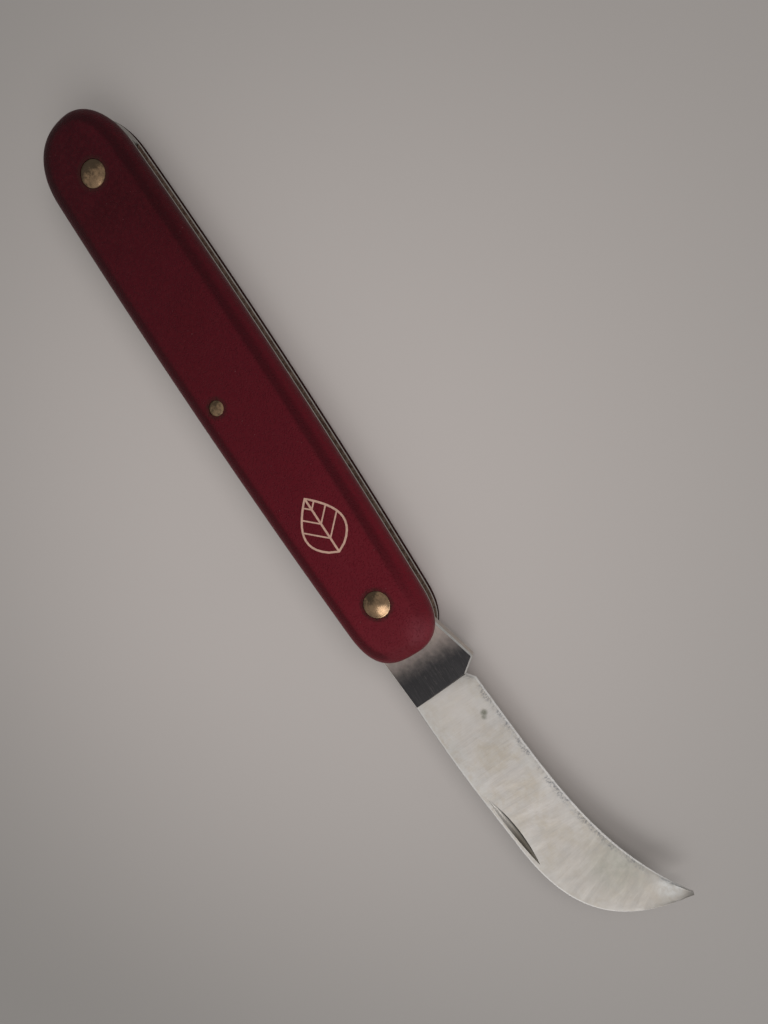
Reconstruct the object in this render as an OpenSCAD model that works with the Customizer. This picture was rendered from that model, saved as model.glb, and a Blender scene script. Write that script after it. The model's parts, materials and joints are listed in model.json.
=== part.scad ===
// Folding gardener's knife with a hooked blade: two moulded scales, two metal liners,
// one back spring and one blade, held together by three brass pins.
//
// Working frame: X runs from the butt towards the blade tip, Y from the back edge towards the
// slot edge, Z from the rear scale to the front scale. Shapes are drawn round the pivot pin at
// [0, 0]; place() then moves everything to the bottom centre of the open knife.

/* [Handle] */
// Length of the handle
handle_l = 99.8; // [98:0.1:106]
// Distance from the pivot pin to the end of the handle
pivot_inset = 9.9; // [9.4:0.1:10.4]
// Distance from the end pin to the butt
end_pin_inset = 10.9; // [10.2:0.1:12]
// Widest distance from the pin line to the back edge
back_w = 8.8; // [8.6:0.1:9.4]
// Widest distance from the pin line to the slot edge
slot_w = 7.7; // [7.4:0.1:8.1]
// Thickness of each scale
scale_t = 3.1; // [2.8:0.1:3.6]
// Width of the rolled edge of a scale
roll_w = 3.1; // [2:0.1:3.4]
// Straight part of a scale's side, next to the liner
side_h = 0.6; // [0.4:0.1:1]
// Thickness of each liner
liner_t = 0.45; // [0.4:0.05:0.6]

/* [Pins] */
// Diameter of the three pins
pin_d = 2.5; // [2.2:0.1:2.6]
// Diameter of the domed collars on the pivot and end pins
collar_d = 4.3; // [4:0.1:4.8]
// Height that the front collars stand above the scale
collar_rise = 0.5; // [0.3:0.05:0.6]
// Distance from the pivot pin to the centre pin, along the handle
centre_pin_x = 38.9; // [37:0.1:41]
// Distance of the centre pin from the pin line, towards the back
centre_pin_y = 4.3; // [4.1:0.1:4.6]

/* [Blade] */
// Thickness of the tang and the spine
blade_t = 2; // [1.8:0.1:2.4]
// Play on each side of the blade, between blade and liner
side_play = 0.04; // [0.03:0.01:0.06]
// Radial play of the blade on its pin
pin_play = 0.03; // [0.02:0.01:0.05]
// Angle through which the blade closes
close_angle = 170; // [169:0.5:170.5]
// Distance from the pivot to the flats of the tang
flat_r = 4.1; // [4:0.05:4.2]
// Radius of the round part of the tang
tang_r = 4.9; // [4.7:0.1:5]
// Depth of the nail nick
nick_depth = 0.5; // [0.3:0.05:0.6]
// Length of the nail nick
nick_l = 14.2; // [11:0.2:15]

/* [Inlay] */
// Length of the leaf inlay
leaf_l = 10; // [8:0.1:10.5]
// Width of the leaf inlay
leaf_w = 7.6; // [6:0.1:8]
// Width of the leaf's lines
leaf_line = 0.34; // [0.3:0.02:0.5]
// Depth of the inlay in the scale
leaf_depth = 0.4; // [0.3:0.05:0.6]

/* [Hidden] */
$fn = 64;

// Levels of the layers, from the rear scale's outer face up
gap = blade_t + 2 * side_play;
rear_liner_z = scale_t;
gap_z = rear_liner_z + liner_t;
front_liner_z = gap_z + gap;
front_scale_z = front_liner_z + liner_t;
front_face_z = front_scale_z + scale_t;
blade_z = gap_z + gap / 2;

// Places along the handle, from the pivot
butt_x = pivot_inset - handle_l;
end_pin_at = [butt_x + end_pin_inset, 0];
centre_pin_at = [-centre_pin_x, -centre_pin_y];

// Fits
press = 0.01;
liner_inset = 0.05;
tang_gap = 0.03;

// Rivets: the collars sit in shallow recesses, the front ones stand proud and the rear ones
// stay just under the face that the knife lies on
recess_gap = 0.1;
recess_depth = 0.9;
rear_sink = 0.03;
centre_pin_rise = 0.08;
dome_h = 0.6;
dome_r = (pow(collar_d / 2, 2) + dome_h * dome_h) / (2 * dome_h);

// How far a cutting shape runs past what it cuts
over = 0.5;

// ---- curves ----

function unit(v) = v / norm(v);

// Point at parameter t of the cubic curve with four control points
function cubic(p, t) = pow(1 - t, 3) * p[0] + 3 * pow(1 - t, 2) * t * p[1]
                     + 3 * (1 - t) * t * t * p[2] + pow(t, 3) * p[3];

function turned(p, a) = [p.x * cos(a) - p.y * sin(a), p.x * sin(a) + p.y * cos(a)];

// Closed outline moved inwards by d; it runs anticlockwise
function inset(pts, d) =
    let (n = len(pts))
    [for (i = [0:n - 1])
        let (t = unit(pts[(i + 1) % n] - pts[(i + n - 1) % n]))
        pts[i] + d * [-t.y, t.x]];

// ---- handle outline ----

// Each long edge is a shallow bow, and each end closes it as a quarter of a superellipse
// Where each bow is widest, and how far it has come in at the pivot
back_bow = [-55, 1.2];
slot_bow = [-45, 0.85];
// Length of the round ends, butt first, and their exponents on the back and the slot side
end_a = [10, 8.6];
end_n = [[2.3, 2.3], [2.9, 2.6]];
end_steps = 12;
side_steps = 12;

function back_y(x) = -(back_w - back_bow[1] * pow((x - back_bow[0]) / back_bow[0], 2));
function slot_y(x) = slot_w - slot_bow[1] * pow((x - slot_bow[0]) / slot_bow[0], 2);

// Point of a round end: e is 0 for the butt and 1 for the pivot end, a runs from 0 at the very
// end to 90 where the long edge starts, and slot says which edge
function end_point(e, a, slot) =
    let (k = 2 / end_n[e][slot ? 1 : 0],
         reach = end_a[e] * (1 - pow(cos(a), k)),
         x = e == 0 ? butt_x + reach : pivot_inset - reach)
    [x, (slot ? slot_y(x) : back_y(x)) * pow(sin(a), k)];

butt_side_x = butt_x + end_a[0];
pivot_side_x = pivot_inset - end_a[1];
function side_x(i) = pivot_side_x + (butt_side_x - pivot_side_x) * i / side_steps;

handle_outline = concat(
    [for (i = [0:end_steps - 1]) end_point(1, 90 * i / end_steps, true)],
    [for (i = [0:side_steps]) [side_x(i), slot_y(side_x(i))]],
    [for (i = [end_steps - 1:-1:0]) end_point(0, 90 * i / end_steps, true)],
    [for (i = [1:end_steps - 1]) end_point(0, 90 * i / end_steps, false)],
    [for (i = [side_steps:-1:0]) [side_x(i), back_y(side_x(i))]],
    [for (i = [end_steps - 1:-1:1]) end_point(1, 90 * i / end_steps, false)]);

// ---- blade outline ----

// Spine from the grind line to the start of the hook, then the back of the hook to the tip,
// and the cutting edge from the heel to the tip
grind_spine = [17.9, -5.4];
hook_start = [44, -4];
tip = [63.5, 16];
spine_curve = [grind_spine, [31, -5.3], [37.4, -4.5], hook_start];
hook_curve = [hook_start, [57.4, -3.3], [63.8, 2], tip];
edge_curve = [[18.2, 5.6], [38.9, 6.65], [51.8, 6.8], tip];
// Notch at the heel, and the kick that rests on the spring when the blade is shut
choil = [16.9, 4.6];
kick = [14.7, 7.2];
kick_r = 0.5;
ricasso_side = [7.6, 5.25];
// Shoulder that meets the spring's nose when the blade is open
stop_x = 3.25;
stop_y = -6.25;
// The curves stop just short of the tip, which leaves it slightly blunt
tip_t = 0.992;

// The flats subtend this angle each side of their middle
flat_a = acos(flat_r / tang_r);
open_flat_a = 270;
closed_flat_a = 270 - close_angle;
function on_tang(a) = tang_r * [cos(a), sin(a)];

tang_steps = 16;
tang_outline = concat(
    [grind_spine, choil],
    [for (i = [0:3]) kick + kick_r * [cos(40 + 25 * i), sin(40 + 25 * i)] - [0, kick_r]],
    [ricasso_side],
    [on_tang(closed_flat_a - flat_a)],
    [for (i = [0:tang_steps])
        on_tang(closed_flat_a + flat_a
                + (open_flat_a - closed_flat_a - 2 * flat_a) * i / tang_steps)],
    [[stop_x, -flat_r], [stop_x, stop_y]]);

// Ground part of the blade: a ring of six points at each station, from the spine over the
// rear face to the edge and back over the front face
stations = 32;
hook_share = 0.5;
edge_share = 0.93;
edge_half = 0.05;
bevel_half = 0.2;
tip_thin = 0.55;
ground_half = blade_t / 2 - 0.02;

function spine_at(s) = s < 1 - hook_share
    ? cubic(spine_curve, s / (1 - hook_share))
    : cubic(hook_curve, tip_t * (s - 1 + hook_share) / hook_share);
function edge_at(s) = cubic(edge_curve, tip_t * s);

// Station 0 is buried in the tang, station 1 is at the heel
root_spine = grind_spine + [-0.8, 0.05];
root_edge = choil + [-0.6, -0.6];
function station_s(i) = (i - 1) / (stations - 1);
function station(i) =
    let (s = max(0, station_s(i)),
         a = i == 0 ? root_spine : spine_at(s) + (i == 1 ? [0, 0.03] : [0, 0]),
         b = i == 0 ? root_edge : edge_at(s),
         c = a + edge_share * (b - a),
         h = ground_half * (1 - (1 - tip_thin) * pow(s, 2)))
    [[a.x, a.y, -h], [c.x, c.y, -bevel_half], [b.x, b.y, -edge_half],
     [b.x, b.y, edge_half], [c.x, c.y, bevel_half], [a.x, a.y, h]];

// Nail nick: the cut of a wheel with a bevelled rim, steep towards the spine; its deepest line
// runs through nick_at, which lies this high above the middle of the blade's thickness
nick_at = [42.85, -3.1];
nick_tilt = 5.5;
nick_w = 1.1;
nick_wall_w = 0.35;
nick_face_h = 0.87;
nick_r = (nick_l * nick_l / 4 + nick_depth * nick_depth) / (2 * nick_depth);

// ---- spring outline ----

// Inner edge of the spring: flat under the tang, then a taper with a swell round the centre pin
nose_x = stop_x - 0.05;
nose_y = -flat_r - tang_gap;
nose_flat_x = -4;
kick_rest = turned(kick - [0, kick_r], close_angle) - [0, kick_r + tang_gap];
strip_end = [end_pin_at.x + 13, -5.3];
swell = 2.8;
swell_w = 8;
swell_steps = 12;
block_curve = [strip_end, end_pin_at + [2.5, -5], end_pin_at + [1, 4.5],
               end_pin_at + [-3, slot_w + over]];
block_steps = 14;

function strip_y(x) = kick_rest.y
    + (strip_end.y - kick_rest.y) * (x - kick_rest.x) / (strip_end.x - kick_rest.x);
function swell_point(i) =
    let (u = -1 + 2 * i / swell_steps, x = centre_pin_at.x - swell_w * u)
    [x, strip_y(x) + swell * pow(cos(90 * u), 2)];

// Space inside the handle that the spring leaves free
free_outline = concat(
    [[nose_x, nose_y], [nose_x, -back_w - over], [pivot_inset + over, -back_w - over],
     [pivot_inset + over, slot_w + over]],
    [for (i = [block_steps:-1:1]) cubic(block_curve, i / block_steps)],
    [strip_end],
    [for (i = [swell_steps:-1:0]) swell_point(i)],
    [kick_rest, [nose_flat_x, nose_y]]);

// ---- leaf outline ----

leaf_at = [-14.8, -0.3];
leaf_steps = 14;
vein_x = [-0.28, -0.02, 0.24];
vein_a = 132;
vein_share = 0.7;
function leaf_point(s, side) = leaf_l * [0.5 - s, 0]
    + [0, side * leaf_w / 2 * pow(sin(180 * pow(s, 0.8)), 0.9)];
leaf_outline = concat(
    [for (i = [0:leaf_steps]) leaf_point(i / leaf_steps, 1)],
    [for (i = [leaf_steps - 1:-1:1]) leaf_point(i / leaf_steps, -1)]);

// ---- overall box ----

hook_points = [for (i = [0:20]) cubic(hook_curve, i / 20)];
box_x = [butt_x, max([for (p = hook_points) p.x])];
box_y = [min([for (p = handle_outline) p.y]), edge_at(1).y];
shift = -[box_x[0] + box_x[1], box_y[0] + box_y[1], 0] / 2;
module place(z = 0) translate(shift + [0, 0, z]) children();

// ---- building blocks ----

// Solid through a stack of rings with the same number of points, lowest ring first
module loft(rings) {
    n = len(rings[0]);
    last = len(rings) - 1;
    polyhedron(
        points = [for (r = rings) for (p = r) p],
        faces = concat(
            [[for (i = [0:n - 1]) i]],
            [[for (i = [n - 1:-1:0]) last * n + i]],
            [for (k = [0:last - 1]) for (i = [0:n - 1])
                let (j = (i + 1) % n, a = k * n, b = a + n)
                each [[a + j, a + i, b + i], [a + j, b + i, b + j]]]));
}

function ring(d, z) = [for (p = inset(handle_outline, d)) [p.x, p.y, z]];

// Hole of diameter d, reaching the same depth above and below the plane that it is on
module hole(at, d, depth) translate([at.x, at.y, -depth]) cylinder(d = d, h = 2 * depth);

// Hole right through a plate or a scale
module through_hole(at, d) hole(at, d, front_face_z);

module pin_holes() {
    for (at = [[0, 0], end_pin_at, centre_pin_at]) through_hole(at, pin_d + 2 * press);
}

// One scale, inner face down
module scale_body() {
    roll_steps = 6;
    difference() {
        loft(concat(
            [ring(0, 0)],
            [for (i = [0:roll_steps])
                let (a = 90 * i / roll_steps)
                ring(roll_w * (1 - cos(a)), side_h + (scale_t - side_h) * sin(a))]));
        pin_holes();
        for (at = [[0, 0], end_pin_at])
            translate([0, 0, scale_t])
                hole(at, collar_d + 2 * recess_gap, recess_depth);
    }
}

module liner() {
    difference() {
        linear_extrude(liner_t) polygon(inset(handle_outline, liner_inset));
        pin_holes();
    }
}

// Rod of diameter d from z = 0 up to a domed end with its crown at height h
module domed_rod(d, h) {
    intersection() {
        cylinder(d = d, h = h + over);
        translate([0, 0, h - dome_r]) sphere(r = dome_r);
    }
}

// Domed collar round a pin, underside at z = 0
module collar(h) {
    difference() {
        domed_rod(collar_d, h);
        through_hole([0, 0], pin_d + 2 * press);
    }
}

// Pin from z0 to z1, both ends rounded like the collars
module pin(z0, z1) {
    half = (z1 - z0) / 2;
    translate([0, 0, z0 + half]) {
        domed_rod(pin_d, half);
        mirror([0, 0, 1]) domed_rod(pin_d, half);
    }
}

// Straight bar of the leaf: starts at [x, 0] and runs off at angle a
module leaf_bar(x, a, width, depth) {
    translate([x, 0, 0]) rotate(a) translate([0, -width / 2, 0]) cube([leaf_l, width, depth]);
}

// Leaf drawn in lines: its outline, the midrib and three pairs of side veins
module leaf_lines(depth) {
    intersection() {
        linear_extrude(depth) polygon(leaf_outline);
        union() {
            difference() {
                linear_extrude(depth) polygon(leaf_outline);
                translate([0, 0, -over])
                    linear_extrude(depth + 2 * over) polygon(inset(leaf_outline, leaf_line));
            }
            leaf_bar(-leaf_l / 2, 0, leaf_line, depth);
            for (x = vein_x, side = [-1, 1])
                leaf_bar(leaf_l * x, side * vein_a, leaf_line * vein_share, depth);
        }
    }
}

// ---- the pieces ----

module front_scale() {
    color("firebrick")
        place(front_scale_z)
            difference() {
                scale_body();
                translate([leaf_at.x, leaf_at.y, scale_t - leaf_depth]) leaf_lines(leaf_depth + over);
            }
}

module rear_scale() {
    color("firebrick") place(scale_t) mirror([0, 0, 1]) scale_body();
}

module front_liner() { color("gainsboro") place(front_liner_z) liner(); }

module rear_liner() { color("gainsboro") place(rear_liner_z) liner(); }

module back_spring() {
    color("lightgray")
        place(blade_z - blade_t / 2)
            difference() {
                linear_extrude(blade_t) polygon(inset(handle_outline, liner_inset));
                translate([0, 0, -over]) linear_extrude(blade_t + 2 * over) polygon(free_outline);
                pin_holes();
            }
}

// Rim of the wheel that cuts the nail nick, its axis along Y and its widest circle at y = 0
module nick_wheel() {
    for (w = [nick_w, -nick_wall_w])
        rotate([w > 0 ? -90 : 90, 0, 0])
            cylinder(r1 = nick_r, r2 = nick_r - nick_depth, h = abs(w), $fn = 256);
}

module blade() {
    color("silver")
        place(blade_z)
            difference() {
                union() {
                    translate([0, 0, -blade_t / 2]) linear_extrude(blade_t) polygon(tang_outline);
                    loft([for (i = [0:stations]) station(i)]);
                }
                through_hole([0, 0], pin_d + 2 * pin_play);
                translate([nick_at.x, nick_at.y, nick_face_h + nick_r - nick_depth])
                    rotate(nick_tilt) nick_wheel();
            }
}

module pivot_pin() { color("darkkhaki") place() pin(rear_sink, front_face_z + collar_rise); }

module end_pin() {
    color("darkkhaki") place() translate(end_pin_at) pin(rear_sink, front_face_z + collar_rise);
}

module centre_pin() {
    color("darkkhaki") place() translate(centre_pin_at) pin(rear_sink, front_face_z + centre_pin_rise);
}

module front_collar(at) {
    color("darkkhaki")
        place(front_face_z - recess_depth) translate(at) collar(recess_depth + collar_rise);
}

module rear_collar(at) {
    color("darkkhaki")
        place(recess_depth) translate(at) mirror([0, 0, 1]) collar(recess_depth - rear_sink);
}

module leaf_inlay() {
    color("antiquewhite")
        place(front_face_z - leaf_depth)
            translate([leaf_at.x, leaf_at.y, 0]) leaf_lines(leaf_depth);
}

front_scale();
rear_scale();
front_liner();
rear_liner();
back_spring();
blade();
pivot_pin();
front_collar([0, 0]);  // pivot_collar_front
rear_collar([0, 0]);  // pivot_collar_rear
end_pin();
front_collar(end_pin_at);  // end_collar_front
rear_collar(end_pin_at);  // end_collar_rear
centre_pin();
leaf_inlay();
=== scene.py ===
"""Looks of the folding gardener's knife: detailed meshes, procedural materials, light and camera.

Lengths are written in millimetres in the knife's own working frame, whose origin is the pivot
pin on the table plane: X towards the blade tip, Y towards the slot edge, Z up. They become metres
in the shared frame when a mesh is made.
"""

import json
import math

import bmesh
import bpy
from mathutils import Matrix, Vector, noise


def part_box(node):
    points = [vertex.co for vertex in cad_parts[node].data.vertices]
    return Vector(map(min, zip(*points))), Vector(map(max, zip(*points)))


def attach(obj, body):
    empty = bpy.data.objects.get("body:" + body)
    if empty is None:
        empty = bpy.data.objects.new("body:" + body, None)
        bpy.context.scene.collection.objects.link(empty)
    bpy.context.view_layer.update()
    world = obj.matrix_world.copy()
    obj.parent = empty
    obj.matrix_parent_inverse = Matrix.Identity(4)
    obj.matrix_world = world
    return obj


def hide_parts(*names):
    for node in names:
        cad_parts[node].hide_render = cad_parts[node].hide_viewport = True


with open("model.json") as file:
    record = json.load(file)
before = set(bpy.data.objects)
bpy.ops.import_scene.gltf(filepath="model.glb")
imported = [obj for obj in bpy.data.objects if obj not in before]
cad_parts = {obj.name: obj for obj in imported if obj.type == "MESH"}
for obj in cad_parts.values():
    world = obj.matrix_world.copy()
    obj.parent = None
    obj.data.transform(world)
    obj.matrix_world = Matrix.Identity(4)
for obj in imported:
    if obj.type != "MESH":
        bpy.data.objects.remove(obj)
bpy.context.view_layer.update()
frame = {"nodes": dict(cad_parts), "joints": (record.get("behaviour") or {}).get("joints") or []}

MM = 0.001

# ---------------------------------------------------------------- places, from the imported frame


def node_box(node):
    """Lowest and highest corner of a CAD node, in the working frame."""
    low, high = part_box(node)
    return (low - PIVOT) / MM, (high - PIVOT) / MM


joint = frame["joints"][0]
PIVOT = Vector((joint["pos_m"][0], joint["pos_m"][1], 0.0))

FRONT_LOW, FRONT_HIGH = node_box("front_scale")
REAR_LOW, REAR_HIGH = node_box("rear_scale")
BUTT_X = FRONT_LOW.x
PIVOT_END_X = FRONT_HIGH.x
BACK_W = -FRONT_LOW.y
SLOT_W = FRONT_HIGH.y
SCALE_T = FRONT_HIGH.z - FRONT_LOW.z


def centre_of(node):
    low, high = node_box(node)
    return (low + high) / 2


END_PIN = centre_of("end_pin").xy
CENTRE_PIN = centre_of("centre_pin").xy
PIVOT_PIN = centre_of("pivot_pin").xy
PINS = (PIVOT_PIN, END_PIN, CENTRE_PIN)


def radius_of(node):
    low, high = node_box(node)
    return (high.x - low.x) / 2


PIN_R = radius_of("pivot_pin")
COLLAR_R = radius_of("pivot_collar_front")
BLADE_LOW, BLADE_HIGH = node_box("blade")
BLADE_Z = (BLADE_LOW.z + BLADE_HIGH.z) / 2
BLADE_HALF = (BLADE_HIGH.z - BLADE_LOW.z) / 2

# ---------------------------------------------------------------- shape values, as in the CAD part

# Each long edge: where its bow is widest, and how far it has come in at the pivot
BACK_BOW = (-55, 1.2)
SLOT_BOW = (-45, 0.85)
# Round ends, butt first: their length, and their exponents on the back and the slot side
END_A = (10, 8.6)
END_N = ((2.3, 2.3), (2.9, 2.6))
END_STEPS = 36
SIDE_STEPS = 60
ROLL_W = 3.1
SIDE_H = 0.6
ROLL_STEPS = 14
SCALE_CORNER = 0.08
RECESS_GAP = 0.04
RECESS_DEPTH = 0.9
DOME_H = 0.6
DOME_R = (COLLAR_R**2 + DOME_H**2) / (2 * DOME_H)
DENTS = 0.03
PRESS = 0.01
LINER_INSET = 0.05
SHEET_CHAMFER = 0.06

GRIND_SPINE = Vector((17.9, -5.4))
HOOK_START = Vector((44, -4))
TIP = Vector((63.5, 16))
SPINE_CURVE = (GRIND_SPINE, Vector((31, -5.3)), Vector((37.4, -4.5)), HOOK_START)
HOOK_CURVE = (HOOK_START, Vector((57.4, -3.3)), Vector((63.8, 2)), TIP)
EDGE_CURVE = (Vector((18.2, 5.6)), Vector((38.9, 6.65)), Vector((51.8, 6.8)), TIP)
CHOIL = Vector((16.9, 4.6))
KICK = Vector((14.7, 7.2))
KICK_R = 0.5
RICASSO_SIDE = Vector((7.6, 5.25))
TIP_T = 0.992
# Tang: the shoulder that stops it open, then the reach of its two flats and of its round part
STOP_X, STOP_Y = 3.25, -6.25
FLAT_R, TANG_R = 4.1, 4.9
TANG_GAP = 0.03
CLOSE_ANGLE = joint["range_deg"][1]
PIN_PLAY = 0.03

# How far a cutting tool runs past what it cuts, how upright the normal of a flat face is, and
# how many sides a round piece or hole has
OVER = 1
FLAT_NORMAL = 0.95
ROUND_SIDES = 96
# Angles up to which pieces are shaded smooth
SMOOTH, SCALE_SMOOTH, BLADE_SMOOTH, LEAF_SMOOTH = 35, 40, 19, 30

# ---------------------------------------------------------------- curve and mesh helpers


def cubic(p, t):
    s = 1 - t
    return s**3 * p[0] + 3 * s * s * t * p[1] + 3 * s * t * t * p[2] + t**3 * p[3]


def polar(r, degrees):
    a = math.radians(degrees)
    return Vector((r * math.cos(a), r * math.sin(a)))


def inset(points, d):
    """Closed anticlockwise outline moved inwards by d."""
    n = len(points)
    moved = []
    for i, p in enumerate(points):
        t = (points[(i + 1) % n] - points[i - 1]).normalized()
        moved.append(p + d * Vector((-t.y, t.x)))
    return moved


def lift(points, z):
    return [Vector((p.x, p.y, z)) for p in points]


def to_frame(v):
    return PIVOT + Vector(v) * MM


def mesh_object(name, bm, material):
    """Puts a working-frame bmesh into the scene."""
    bmesh.ops.recalc_face_normals(bm, faces=bm.faces)
    for v in bm.verts:
        v.co = to_frame(v.co)
    data = bpy.data.meshes.new(name)
    bm.to_mesh(data)
    bm.free()
    data.materials.append(material)
    obj = bpy.data.objects.new(name, data)
    bpy.context.scene.collection.objects.link(obj)
    shade(obj, SMOOTH)
    return obj


def shade(obj, smooth_angle):
    """Shades a mesh smooth, apart from edges sharper than an angle in degrees."""
    obj.data.shade_smooth()
    obj.data.set_sharp_from_angle(angle=math.radians(smooth_angle))


def weigh_normals(obj):
    """Lets the large faces set the normals, so that flats stay flat beside rounded edges."""
    mod = obj.modifiers.new("weighted", "WEIGHTED_NORMAL")
    mod.keep_sharp = True
    mod.weight = 100
    apply_modifiers(obj)


def loft(rings, uv=None):
    """Closed bmesh through rings with equal numbers of points; uv gives a point's (s, f)."""
    bm = bmesh.new()
    rows = [[bm.verts.new(p) for p in ring] for ring in rings]
    n = len(rows[0])
    layer = bm.loops.layers.uv.new("grind")
    for k in range(len(rows) - 1):
        for i in range(n):
            j = (i + 1) % n
            face = bm.faces.new((rows[k][i], rows[k][j], rows[k + 1][j], rows[k + 1][i]))
            if uv:
                for loop, (row, col) in zip(face.loops, ((k, i), (k, j), (k + 1, j), (k + 1, i))):
                    loop[layer].uv = uv(row, col)
    bm.faces.new(list(reversed(rows[0])))
    bm.faces.new(rows[-1])
    return bm


def rod(centre, radius, z0, z1):
    """Plain cylinder used as a cutting tool."""
    ring = [Vector(centre) + polar(radius, 360 * i / ROUND_SIDES) for i in range(ROUND_SIDES)]
    return loft([lift(ring, z0), lift(ring, z1)])


def plate(outline, low, high, chamfer):
    """Flat plate between two levels, with both of its rims chamfered."""
    small = inset(outline, chamfer)
    return loft([lift(small, low), lift(outline, low + chamfer),
                 lift(outline, high - chamfer), lift(small, high)])


def apply_modifiers(obj):
    """Replaces an object's mesh with the result of its modifiers."""
    deps = bpy.context.evaluated_depsgraph_get()
    data = bpy.data.meshes.new_from_object(obj.evaluated_get(deps))
    old = obj.data
    obj.modifiers.clear()
    obj.data = data
    bpy.data.meshes.remove(old)


def boolean(obj, tool_bm, operation, tool_material):
    """Exact boolean of obj with a working-frame bmesh, which is used up."""
    tool = mesh_object(obj.name + "_tool", tool_bm, tool_material)
    mod = obj.modifiers.new(operation, "BOOLEAN")
    mod.operation = operation
    mod.solver = "EXACT"
    mod.material_mode = "TRANSFER"
    mod.object = tool
    apply_modifiers(obj)
    bpy.data.objects.remove(tool)


def cut(obj, tool_bm, material=None):
    boolean(obj, tool_bm, "DIFFERENCE", material or obj.data.materials[0])


def bore(obj, pins, z0, z1):
    """Press-fit holes for pins, right through from level z0 to level z1."""
    past = math.copysign(OVER, z1 - z0)
    for pin in pins:
        cut(obj, rod(pin, PIN_R + PRESS, z0 - past, z1 + past))


# ---------------------------------------------------------------- node helpers for materials


class Nodes:
    """Short names for building one material's node tree."""

    def __init__(self, name):
        self.material = bpy.data.materials.new(name)
        self.material.use_nodes = True
        self.tree = self.material.node_tree
        self.shader = self.tree.nodes["Principled BSDF"]
        self.coords = self.tree.nodes.new("ShaderNodeTexCoord")

    def node(self, kind, **settings):
        made = self.tree.nodes.new("ShaderNode" + kind)
        for key, value in settings.items():
            setattr(made, key, value)
        return made

    def link(self, a, b):
        self.tree.links.new(a, b)

    def put(self, socket, value):
        """Links an output, or sets a plain value, on an input socket."""
        if isinstance(value, bpy.types.NodeSocket):
            self.link(value, socket)
        else:
            socket.default_value = value

    def vector_math(self, operation, a, b):
        """Output node of a vector operation on an output and a plain vector."""
        made = self.node("VectorMath", operation=operation)
        self.link(a, made.inputs[0])
        made.inputs[1].default_value = b
        return made

    def local(self):
        """Object coordinates in millimetres from the pivot."""
        moved = self.vector_math("SUBTRACT", self.coords.outputs["Object"], PIVOT)
        scaled = self.node("VectorMath", operation="SCALE")
        self.link(moved.outputs[0], scaled.inputs[0])
        scaled.inputs["Scale"].default_value = 1 / MM
        return scaled.outputs[0]

    def stretch(self, vector, scale, turn=(0, 0, 0)):
        mapped = self.node("Mapping")
        self.link(vector, mapped.inputs["Vector"])
        mapped.inputs["Rotation"].default_value = [math.radians(a) for a in turn]
        mapped.inputs["Scale"].default_value = scale
        return mapped.outputs[0]

    def noise(self, vector, scale, detail=2, rough=0.5, distortion=0):
        made = self.node("TexNoise")
        self.link(vector, made.inputs["Vector"])
        made.inputs["Scale"].default_value = scale
        made.inputs["Detail"].default_value = detail
        made.inputs["Roughness"].default_value = rough
        made.inputs["Distortion"].default_value = distortion
        return made.outputs["Fac"]

    def cells(self, vector, scale):
        made = self.node("TexVoronoi")
        self.link(vector, made.inputs["Vector"])
        made.inputs["Scale"].default_value = scale
        return made.outputs["Distance"]

    def span(self, value, low, high, to_low=0, to_high=1, smooth=False):
        """Value mapped from low..high to to_low..to_high and clamped."""
        made = self.node("MapRange", interpolation_type="SMOOTHSTEP" if smooth else "LINEAR")
        self.put(made.inputs["Value"], value)
        made.inputs["From Min"].default_value = low
        made.inputs["From Max"].default_value = high
        made.inputs["To Min"].default_value = to_low
        made.inputs["To Max"].default_value = to_high
        return made.outputs["Result"]

    def math(self, operation, a, b=0.0):
        made = self.node("Math", operation=operation)
        self.put(made.inputs[0], a)
        self.put(made.inputs[1], b)
        return made.outputs[0]

    def mix(self, factor, a, b, blend="MIX"):
        made = self.node("Mix", data_type="RGBA", blend_type=blend)
        self.put(made.inputs["Factor"], factor)
        self.put(made.inputs[6], a if isinstance(a, bpy.types.NodeSocket) else (*a, 1))
        self.put(made.inputs[7], b if isinstance(b, bpy.types.NodeSocket) else (*b, 1))
        return made.outputs[2]

    def axis(self, vector, name):
        made = self.node("SeparateXYZ")
        self.link(vector, made.inputs[0])
        return made.outputs[name]

    def near(self, vector, point, inner, outer):
        """1 within inner of a point (in plan), falling to 0 at outer."""
        flat = self.vector_math("MULTIPLY", vector, (1, 1, 0))
        gap = self.vector_math("DISTANCE", flat.outputs[0], (*point, 0))
        return self.span(gap.outputs["Value"], inner, outer, 1, 0, smooth=True)

    def bump(self, height, distance, under=None):
        """Bump whose height input is in units of distance, a number of millimetres."""
        made = self.node("Bump")
        made.inputs["Strength"].default_value = 1
        made.inputs["Distance"].default_value = distance * MM
        self.link(height, made.inputs["Height"])
        if under is not None:
            self.link(under, made.inputs["Normal"])
        return made.outputs["Normal"]

    def finish(self, color, metallic, roughness, normal=None):
        self.put(self.shader.inputs["Base Color"], color)
        self.shader.inputs["Metallic"].default_value = metallic
        self.put(self.shader.inputs["Roughness"], roughness)
        if normal is not None:
            self.link(normal, self.shader.inputs["Normal"])
        return self.material


# ---------------------------------------------------------------- materials


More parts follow.
